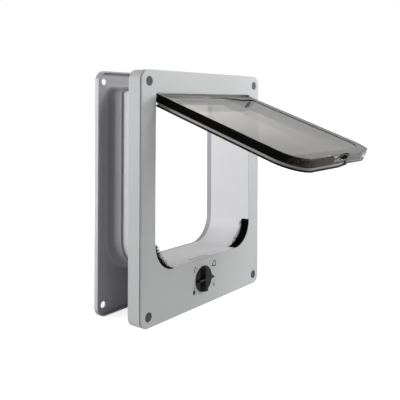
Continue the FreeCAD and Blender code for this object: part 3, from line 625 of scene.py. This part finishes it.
def fibres(roots, ways, lengths, radius):
    """Thin three-sided spikes: three points round each root, square to its way, and one tip."""
    ways = ways / np.linalg.norm(ways, axis=1, keepdims=True)
    helper = np.where(np.abs(ways[:, :1]) < 0.9, [[1.0, 0, 0]], [[0, 1.0, 0]])
    first = np.cross(ways, helper)
    first /= np.linalg.norm(first, axis=1, keepdims=True)
    second = np.cross(ways, first)
    thirds = np.arange(3) * 2 * math.pi / 3
    ring = np.cos(thirds)[:, None, None] * first + np.sin(thirds)[:, None, None] * second
    points = np.concatenate([roots + radius * ring, (roots + ways * lengths[:, None])[None]])
    count = len(roots)
    corners = count * np.array([(0, 1, 3), (1, 2, 3), (2, 0, 3), (2, 1, 0)])
    return points, (np.arange(count)[:, None, None] + corners).reshape(-1, 3).tolist()


def fur(travel, side, bend, bend_through, shortest, longest, radius):
    """Fibres that stand outwards from the edge. Chance places them through its depth.

    Each way is 1 mm outwards plus what chance bends it, along the flap's face and through it.
    """
    count = len(travel)
    depth = pile_front + pile_width * random.uniform(0.03, 0.97, count)
    x, z, out_x, out_z = along_edge(travel, 0.001, side)
    roots = opened(x, depth, z)
    tips_x = x + 0.001 * out_x + random.normal(0, bend, count)
    tips_z = z + 0.001 * out_z + random.normal(0, bend, count)
    ways = opened(tips_x, depth + random.normal(0, bend_through, count), tips_z) - roots
    return fibres(roots, ways, random.uniform(shortest, longest, count), radius)


# the left strip ends at the notch in the bottom edge, the right one part way round its corner
corner_to_notch = 0.0445
right_turn = math.acos(0.0207 / corner_radius)
edges = [
    (-1, "left", side_length + arc_length + corner_to_notch),
    (1, "right", side_length + corner_radius * right_turn),
]
for side, name, end in edges:
    travel = random.uniform(0, end, int(end * fibres_per_metre))
    short_fur = fur(travel, side, 0.00028, 0.0003, 0.0008, 0.0013, 0.00014)
    body = pile_strip(end, side)
    pile = mesh_piece(f"edge_pile_{name}", *body, pile_black, "flap", "pile_black")
    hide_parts(f"pile_{name}")
    mesh_piece(f"pile_fibres_{name}", *short_fur, fibre_grey, "flap", "pile_black", smooth=False)
    if side < 0:
        # the pale fibres, painted light, grow denser from the corner's first quarter to the notch
        start = side_length + 0.25 * arc_length
        travel = start + (end - start) * random.uniform(0, 1, painted_light_fibres) ** 0.45
        painted_light_fur = fur(travel, side, 0.0004, 0.0004, 0.0009, 0.0014, 0.0002)
        mesh_piece("pile_fibres_end", *painted_light_fur, fibre_pale, "flap", "pile_black", smooth=False)


# Lip: the clear mouldings' edge stands out beyond the pile on the far side. It looks grey and ends
# in a thin dark line, which follows the bottom edge past the notch.
lip_grey = moulded("lip_grey", (146, 146, 142), roughness=0.3, grain_depth=0.00001)
line_dark = moulded("line_dark", (16, 16, 15), roughness=0.6, grain_depth=0.00001, gloss=0.1)
past_notch = 0.044


def edge_bar(side, end, depths, insets):
    """A square bar that follows the flap's edge, between two depths and two insets.

    Over its last 30 mm it draws in smoothly by 2.4 mm, so that it ends inside the clear edge.
    """
    columns = 140
    travel = np.linspace(0, end, columns)[:, None]
    drawn_in = 0.0024 * smooth_step((travel - end) / 0.03 + 1)
    ring = np.array([(0, 0), (1, 0), (1, 1), (0, 1)])
    x, z, _, _ = along_edge(travel, np.array(insets)[ring[:, 0]] + drawn_in, side)
    points = opened(x, np.array(depths)[ring[:, 1]] + 0 * x, z)[:, ::-side]
    return points, tube_faces(columns, 4)


for side, name, end in edges:
    bar_end = end + past_notch if side < 0 else end
    bar = edge_bar(side, bar_end, (0.0039, 0.0065), (0.0009, 0.0026))
    mesh_piece(f"edge_lip_{name}", *bar, lip_grey, "flap", "clear_smoke", smooth=False)
    bar = edge_bar(side, bar_end, (0.0066, 0.0082), (-0.0004, 0.003))
    mesh_piece(f"edge_line_{name}", *bar, line_dark, "flap", "clear_smoke", smooth=False)


# Corner brushes: stiff black bristles on the two lower corners of the opening, where the flap's
# round corners close. They stand on the strips that are set into the corners.
brush_turn, short_from = math.radians(78), math.radians(48)
bristles_each, bristle_radius, root_inset = 900, 0.00022, 0.0007
long_bristle, shortened, chance_lean, droop = 0.0098, 0.006, 0.16, 0.35
for side, name in ((-1, "left"), (1, "right")):
    low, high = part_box(f"corner_pile_{name}")
    radius = high[2] - low[2] - root_inset
    centre_x = high[0] if side < 0 else low[0]
    turn = random.uniform(0, brush_turn, bristles_each)
    out_x, out_z = side * np.cos(turn), -np.sin(turn)
    y = random.uniform(low[1] + 0.0004, high[1] - 0.0006, bristles_each)
    roots = np.stack([centre_x + radius * out_x, y, high[2] + radius * out_z], axis=1)
    inwards = np.stack([-out_x, 0 * y, -out_z - droop], axis=1)
    ways = random.normal(0, chance_lean, (bristles_each, 3)) + inwards
    full = long_bristle - shortened * smooth_step((turn - short_from) / (brush_turn - short_from))
    lengths = full * random.uniform(0.7, 1.15, bristles_each)
    brush = fibres(roots, ways, lengths, bristle_radius)
    mesh_piece(f"corner_bristles_{name}", *brush, pile_black, "frame", "pile_black", smooth=False)
dress(pile_black, ["corner_pile_left", "corner_pile_right"])
